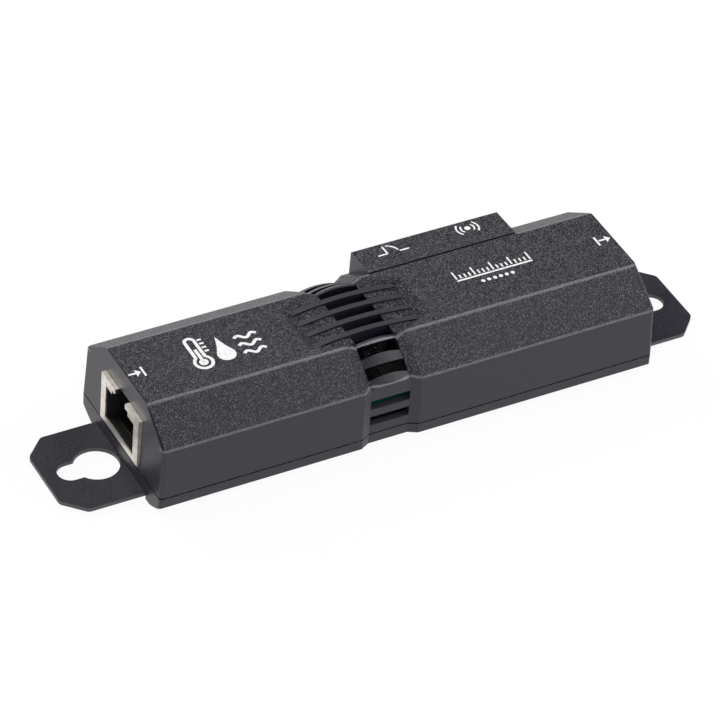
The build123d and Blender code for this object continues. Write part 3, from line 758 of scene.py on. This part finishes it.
@dataclass
class ClimateSigns:
    """Thermometer, water drop and three air waves on the inlet half of the top."""

    thermometer: Point = (-37.6, -2.1)
    bulb: float = 1.75
    filled_share: float = 0.52
    tube_half: float = 0.95
    tube_length: float = 6.3
    column_share: float = 0.62
    mark_count: int = 4
    first_mark: float = 0.45
    mark_pitch: float = 0.18
    mark_reach: Span = (0.55, 1.45)
    mark_share: float = 0.7
    line: float = 0.66
    drop: Point = (-32.6, -1.6)
    drop_radius: float = 1.85
    drop_height: float = 5.2
    drop_foot_start: float = 160.0
    drop_foot_turn: float = 220.0
    drop_neck: Point = (0.52, 0.42)
    waves: Point = (-29.4, -2.8)
    wave_rows: int = 3
    wave_pitch: float = 2.3
    wave_length: float = 4.6
    wave_swing: float = 0.5
    wave_count: float = 1.5
    wave_steps: int = 24

    def build(self, ink: bpy.types.Material) -> None:
        """Print the three signs."""
        print_signs({"temperature_sign": self.draw_thermometer, "humidity_sign": self.draw_drop,
                     "air_sign": self.draw_waves}, ink)

    def draw_thermometer(self, mark: Ink) -> None:
        """Draw an outlined tube with a filled bulb, its column and its scale lines."""
        x, y = self.thermometer
        lap = math.degrees(math.asin(self.tube_half / self.bulb))
        foot = circle((x, y), self.bulb, 24, 90.0 + lap, FULL_TURN - 2 * lap)
        head = circle((x, y + self.tube_length), self.tube_half, 12, 0.0, 180.0)
        mark.stroke(foot + head, self.line, True)
        mark.patch(circle((x, y), self.bulb * self.filled_share))
        mark.stroke([(x, y), (x, y + self.tube_length * self.column_share)], self.line)
        near, far = (x + self.tube_half + reach for reach in self.mark_reach)
        for row in range(self.mark_count):
            height = y + self.tube_length * (self.first_mark + self.mark_pitch * row)
            mark.stroke([(near, height), (far, height)], self.line * self.mark_share)

    def draw_drop(self, mark: Ink) -> None:
        """Draw a filled drop with a rounded foot and a pointed head."""
        x, y = self.drop
        foot = circle((x, y), self.drop_radius, 21, self.drop_foot_start, self.drop_foot_turn)
        neck, rise = self.drop_radius * self.drop_neck[0], self.drop_height * self.drop_neck[1]
        mark.patch(foot + [(x + neck, y + rise), (x, y + self.drop_height), (x - neck, y + rise)])

    def draw_waves(self, mark: Ink) -> None:
        """Draw rows of air waves, one above the other."""
        x, y = self.waves
        for row in range(self.wave_rows):
            foot = y + row * self.wave_pitch
            shares = (step / self.wave_steps for step in range(self.wave_steps + 1))
            mark.stroke([(x + self.wave_length * share, foot + self.wave_swing
                          * math.sin(math.tau * self.wave_count * share)) for share in shares],
                        self.line)


@dataclass
class PortSigns:
    """Signs on the housing over the sensor ports: a door with its swing, and a probe with arcs."""

    door: Point = (10.9, 14.3)
    doorway_half: float = 1.3
    wall_end: float = 3.4
    sill: float = -1.0
    leaf_end: float = 1.5
    swing: float = 2.5
    swing_start: float = 8.0
    swing_turn: float = 66.0
    probe: Point = (27.8, 14.3)
    probe_radius: float = 0.62
    arc_radii: Span = (1.4, 2.3)
    arc_starts: Span = (-42.0, 138.0)
    arc_turn: float = 84.0
    arc_points: int = 9
    line: float = 0.36

    def build(self, ink: bpy.types.Material) -> None:
        """Print both signs."""
        print_signs({"door_sign": self.draw_door, "probe_sign": self.draw_probe}, ink)

    def draw_door(self, mark: Ink) -> None:
        """Draw a door frame, the leaf that stands open and the arc of its swing."""
        x, y = self.door
        left, right, sill = x - self.doorway_half, x + self.doorway_half, y + self.sill
        mark.stroke([(x - self.wall_end, sill), (left, sill)], self.line)
        mark.stroke([(right, sill), (x + self.wall_end, sill)], self.line)
        mark.stroke([(left, sill), (left, y + self.leaf_end)], self.line)
        mark.stroke(circle((left, sill), self.swing, self.arc_points, self.swing_start,
                           self.swing_turn), self.line)

    def draw_probe(self, mark: Ink) -> None:
        """Draw a round probe with arcs on both sides of it."""
        mark.patch(circle(self.probe, self.probe_radius))
        for radius in self.arc_radii:
            for start in self.arc_starts:
                mark.stroke(circle(self.probe, radius, self.arc_points, start, self.arc_turn),
                            self.line)


# Repeated pieces


class Growth:
    """A Geometry Nodes tree with named sizes, whose result becomes a plain mesh."""

    def __init__(self, name: str, sizes: dict[str, float | int]) -> None:
        """Start the tree with one input for each size."""
        self.name = name
        self.sizes = sizes
        self.tree = bpy.data.node_groups.new(name, "GeometryNodeTree")
        self.bench = Bench(self.tree)
        sockets = self.tree.interface
        sockets.new_socket("Geometry", in_out="OUTPUT", socket_type="NodeSocketGeometry")
        for label, value in sizes.items():
            kind = "NodeSocketInt" if isinstance(value, int) else "NodeSocketFloat"
            sockets.new_socket(label, in_out="INPUT", socket_type=kind)
        self.entry = self.bench.add("NodeGroupInput")

    def size(self, label: str) -> Num:
        """One of the named sizes, in metres where it is a length."""
        return self.bench.number(self.entry, label)

    def vector(self, x: object, y: object, z: object) -> bpy.types.NodeSocket:
        """A vector from three numbers."""
        return self.bench.add("ShaderNodeCombineXYZ", None, {0: x, 1: y, 2: z}).outputs[0]

    def row(self, x: object, y: object, z: object) -> bpy.types.NodeSocket:
        """Points in a row along X from x, y, z, as many as Count and a Pitch apart."""
        made = self.bench.add("GeometryNodeMeshLine", None, {
            "Count": self.size("Count"), "Start Location": self.vector(x, y, z),
            "Offset": self.vector(self.size("Pitch"), 0.0, 0.0)})
        return made.outputs[0]

    def copies(self, points: bpy.types.NodeSocket, shape: bpy.types.Node,
               scale: object = (1.0, 1.0, 1.0)) -> bpy.types.NodeSocket:
        """A copy of what a node makes on every point, scaled along each axis."""
        made = self.bench.add("GeometryNodeInstanceOnPoints", None, {
            "Points": points, "Instance": shape.outputs[0], "Scale": scale})
        return made.outputs[0]

    def close(self, geometry: bpy.types.NodeSocket, material: bpy.types.Material,
              slot: Slot) -> None:
        """End the tree, evaluate it and keep the result as a piece.

        Args:
            geometry: What the tree has made.
            material: The piece's material.
            slot: Not used.
        """
        real = self.bench.add("GeometryNodeRealizeInstances", None, {0: geometry})
        dressed = self.bench.add("GeometryNodeSetMaterial", None,
                                 {0: real.outputs[0], "Material": material})
        self.bench.add("NodeGroupOutput", None, {0: dressed.outputs[0]})
        piece = bpy.data.objects.new(self.name, bpy.data.meshes.new(self.name))
        bpy.context.scene.collection.objects.link(piece)
        modifier = piece.modifiers.new(self.name, "NODES")
        modifier.node_group = self.tree
        for item in self.tree.interface.items_tree:
            if item.in_out == "INPUT":
                modifier[item.identifier] = self.sizes[item.name]
        evaluated = piece.evaluated_get(bpy.context.evaluated_depsgraph_get())
        made = bpy.data.meshes.new_from_object(evaluated)
        made.name = self.name
        piece.modifiers.clear()
        piece.data = made
        attach(piece)


@dataclass
class LevelScale:
    """A printed scale on the outlet half of the top: base line, ticks above it, dots below it."""

    left: float = 17.9
    right: float = 34.5
    line_y: float = 0.3
    line_width: float = 0.42
    tick_count: int = 17
    tick_gap: float = 0.5
    tick_width: float = 0.34
    short_tick: float = 1.1
    long_tick: float = 2.3
    long_every: int = 4
    dot_left: float = 22.6
    dot_pitch: float = 1.3
    dot_count: int = 6
    dot_radius: float = 0.42
    dot_corners: int = 20
    dot_y: float = -1.5
    thickness: float = 0.042

    def build(self, ink: bpy.types.Material) -> None:
        """Print the base line, then the ticks and the dots."""
        line = Ink("scale_line", "top_cover")
        line.stroke([(self.left, self.line_y), (self.right, self.line_y)], self.line_width)
        line.finish(ink)
        self.grow_ticks(ink)
        self.grow_dots(ink)

    def middle_z(self) -> float:
        """Height of the middle of the ink, in metres."""
        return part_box("top_cover")[1][2] + (Ink.PROUD - self.thickness / 2) * MM

    def grow_ticks(self, ink: bpy.types.Material) -> None:
        """Grow the row of ticks, every few of them longer."""
        growth = Growth("scale_ticks", {
            "Count": self.tick_count, "Long Every": self.long_every,
            "Left": (self.left + self.tick_width / 2) * MM,
            "Pitch": (self.right - self.left - self.tick_width) / (self.tick_count - 1) * MM,
            "Foot": (self.line_y + self.tick_gap) * MM, "Width": self.tick_width * MM,
            "Short": self.short_tick * MM, "Long": self.long_tick * MM,
            "Thickness": self.thickness * MM, "Height": self.middle_z()})
        bench = growth.bench
        row = growth.row(growth.size("Left"), 0.0, growth.size("Height"))
        index = bench.number(bench.add("GeometryNodeInputIndex"))
        is_long = 1.0 - index.wrapped(growth.size("Long Every")).smaller(1.0)
        length = growth.size("Short") + (growth.size("Long") - growth.size("Short")) * is_long
        middle = growth.vector(0.0, growth.size("Foot") + length * 0.5, 0.0)
        moved = bench.add("GeometryNodeSetPosition", None, {"Geometry": row, "Offset": middle})
        cube = bench.add("GeometryNodeMeshCube", None, {
            "Size": growth.vector(growth.size("Width"), 1.0, growth.size("Thickness"))})
        placed = growth.copies(moved.outputs[0], cube, growth.vector(1.0, length, 1.0))
        growth.close(placed, ink, Slot.CASE)

    def grow_dots(self, ink: bpy.types.Material) -> None:
        """Grow the row of dots."""
        growth = Growth("scale_dots", {
            "Count": self.dot_count, "Left": self.dot_left * MM, "Pitch": self.dot_pitch * MM,
            "Row": self.dot_y * MM, "Radius": self.dot_radius * MM,
            "Thickness": self.thickness * MM, "Height": self.middle_z()})
        row = growth.row(growth.size("Left"), growth.size("Row"), growth.size("Height"))
        dot = growth.bench.add("GeometryNodeMeshCylinder", None, {
            "Vertices": self.dot_corners, "Radius": growth.size("Radius"),
            "Depth": growth.size("Thickness")})
        growth.close(growth.copies(row, dot), ink, Slot.CASE)


@dataclass
class ResistorEnds:
    """Rounded solder on the ends of the chip resistors on the board's neck."""

    count: int = 3
    first_x: float = 1.3
    pitch: float = 1.05
    middle_y: float = 3.9
    end_offset: float = 0.66
    width: float = 0.84
    length: float = 0.34
    height: float = 0.54
    segments: int = 16
    rings: int = 8

    def build(self, tin: bpy.types.Material) -> None:
        """Grow both rows of ends."""
        growth = Growth("resistor_ends", {
            "Count": self.count, "Left": self.first_x * MM, "Pitch": self.pitch * MM,
            "Row": self.middle_y * MM, "Reach": self.end_offset * MM, "Width": self.width * MM,
            "Length": self.length * MM, "Thickness": self.height * MM,
            "Floor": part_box("resistors")[0][2]})
        bench = growth.bench
        middle = growth.size("Floor") + growth.size("Thickness") * 0.5
        ball = bench.add("GeometryNodeMeshUVSphere", None, {
            "Segments": self.segments, "Rings": self.rings, "Radius": 0.5})
        size = growth.vector(growth.size("Width"), growth.size("Length"), growth.size("Thickness"))
        bead = bench.add("GeometryNodeTransform", None,
                         {"Geometry": ball.outputs[0], "Scale": size})
        joined = bench.add("GeometryNodeJoinGeometry")
        for side in (-1.0, 1.0):
            across = growth.size("Row") + growth.size("Reach") * side
            row = growth.row(growth.size("Left"), across, middle)
            bench.tree.links.new(growth.copies(row, bead), joined.inputs[0])
        growth.close(joined.outputs[0], tin, Slot.RESISTOR)


# Studio


@dataclass
class Camera:
    """The camera that took the photograph, as fitted to the case's corners."""

    azimuth: float = -31.011
    elevation: float = 39.757
    roll: float = 4.952
    distance: float = 826.6
    target_height: float = 8.05
    lens: float = 214.56
    sensor: float = 36.0
    shift: Point = (-0.01606, -0.00257)
    clip: Span = (0.01, 20.0)

    def build(self) -> None:
        """Make the camera and look through it."""
        turn, rise, roll = (math.radians(a) for a in (self.azimuth, self.elevation, self.roll))
        back = Vector((math.sin(turn) * math.cos(rise), -math.cos(turn) * math.cos(rise),
                       math.sin(rise)))
        right = Vector((0, 0, 1)).cross(back).normalized()
        up = back.cross(right)
        across = right * math.cos(roll) + up * math.sin(roll)
        upright = up * math.cos(roll) - right * math.sin(roll)
        data = bpy.data.cameras.new("photo_camera")
        data.lens, data.sensor_width = self.lens, self.sensor
        data.shift_x, data.shift_y = self.shift
        data.clip_start, data.clip_end = self.clip
        camera = bpy.data.objects.new("photo_camera", data)
        place = Vector((0, 0, self.target_height * MM)) + back * self.distance * MM
        axes = Matrix((across, upright, back)).transposed()
        camera.matrix_world = Matrix.Translation(place) @ axes.to_4x4()
        bpy.context.scene.collection.objects.link(camera)
        bpy.context.scene.camera = camera
        log.info("camera stands at %s", [round(c, 3) for c in place])


@dataclass
class SoftBox:
    """One soft rectangular lamp that faces the object, as bright as level all over."""

    name: str
    direction: tuple[float, float, float]
    distance: float
    size: Point
    level: float

    def build(self) -> None:
        """Hang the lamp and aim it."""
        data = bpy.data.lights.new(self.name, "AREA")
        data.shape = "RECTANGLE"
        data.size, data.size_y = self.size
        data.energy = self.level * AREA_LAMP_SHARE * self.size[0] * self.size[1]
        lamp = bpy.data.objects.new(self.name, data)
        out = Vector(self.direction).normalized()
        lamp.location = out * self.distance
        lamp.rotation_euler = out.to_track_quat("Z", "Y").to_euler()
        bpy.context.scene.collection.objects.link(lamp)


@dataclass
class Studio:
    """White floor, dim surroundings that turn white near the floor, and soft lamps."""

    floor_half: float = 6.0
    floor_share: float = 0.95
    cloth_level: float = 0.9
    dome_level: float = 0.42
    dim_level: float = 0.05
    horizon_rise: Span = (0.02, 0.3)
    lamps: tuple[SoftBox, ...] = (
        SoftBox("right_lamp", (0.84, -0.22, 0.50), 0.65, (0.58, 0.55), 2.0),
        SoftBox("back_lamp", (-0.38, 0.70, 0.60), 0.65, (0.50, 0.34), 4.4),
        SoftBox("overhead_lamp", (0.46, -0.26, 0.85), 0.8, (0.24, 0.20), 5.0),
        SoftBox("front_lamp", (-0.20, -0.90, 0.35), 1.5, (0.8, 0.5), 3.6),
    )

    def build(self) -> None:
        """Set up the floor, the surroundings and the lamps."""
        self.lay_floor()
        self.paint_world()
        for lamp in self.lamps:
            lamp.build()
        bpy.context.scene.view_settings.view_transform = "Standard"
        log.info("studio with %d lamps", len(self.lamps))

    def lay_floor(self) -> None:
        """Lay the white floor, which keeps the object's shadow."""
        half = self.floor_half
        mesh = bpy.data.meshes.new("floor")
        corners = [(-half, -half, 0), (half, -half, 0), (half, half, 0), (-half, half, 0)]
        mesh.from_pydata(corners, [], [(0, 1, 2, 3)])
        material = bpy.data.materials.new("floor_white")
        material.use_nodes = True
        bench = Bench(material.node_tree)
        seen = self.seen_share(bench)
        cloth = bench.add("ShaderNodeBsdfDiffuse", None, {"Color": grey(self.cloth_level)})
        glow = bench.add("ShaderNodeEmission", None, {"Color": grey(1.0), "Strength": 1.0})
        mixed = bench.add("ShaderNodeMixShader", None,
                          {0: seen * self.floor_share, 1: cloth.outputs[0], 2: glow.outputs[0]})
        bench.add("ShaderNodeOutputMaterial", None, {"Surface": mixed.outputs[0]})
        mesh.materials.append(material)
        floor = bpy.data.objects.new("floor", mesh)
        bpy.context.scene.collection.objects.link(floor)

    @staticmethod
    def seen_share(bench: Bench) -> Num:
        """1 for what is seen, directly, mirrored or through glass, 0 for the light it gives."""
        path = bench.add("ShaderNodeLightPath")
        camera, glossy, through = (bench.number(path, name) for name in
                                   ("Is Camera Ray", "Is Glossy Ray", "Is Transmission Ray"))
        return camera.larger(glossy).larger(through)

    def paint_world(self) -> None:
        """Surroundings: white to the eye, and in reflections white near the floor, dim above."""
        world = bpy.data.worlds.new("studio_world")
        world.use_nodes = True
        bpy.context.scene.world = world
        bench = Bench(world.node_tree)
        way = bench.add("ShaderNodeTexCoord").outputs["Generated"]
        high = bench.part(way, Axis.Z).step(*self.horizon_rise)
        direct = bench.number(bench.add("ShaderNodeLightPath"), "Is Camera Ray")
        mirrored = bench.blend(high, grey(1.0), grey(self.dim_level))
        lit = bench.blend(self.seen_share(bench), grey(self.dome_level), mirrored)
        colour = bench.blend(direct, lit, grey(1.0))
        back = bench.add("ShaderNodeBackground", None, {"Color": colour, "Strength": 1.0})
        bench.add("ShaderNodeOutputWorld", None, {"Surface": back.outputs[0]})


def main() -> None:
    """Build the scene, piece by piece."""
    logging.basicConfig(level=logging.INFO, format="%(name)s: %(message)s")
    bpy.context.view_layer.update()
    Camera().build()
    Studio().build()
    Dressing().apply()
    ink = WhiteInk("white_ink", Slot.CASE).make()
    tin = Solder("bright_tin", Slot.RESISTOR).make()
    for sign in (FlowArrows(), ClimateSigns(), PortSigns(), LevelScale()):
        sign.build(ink)
    ResistorEnds().build(tin)


if __name__ == "__main__":
    main()
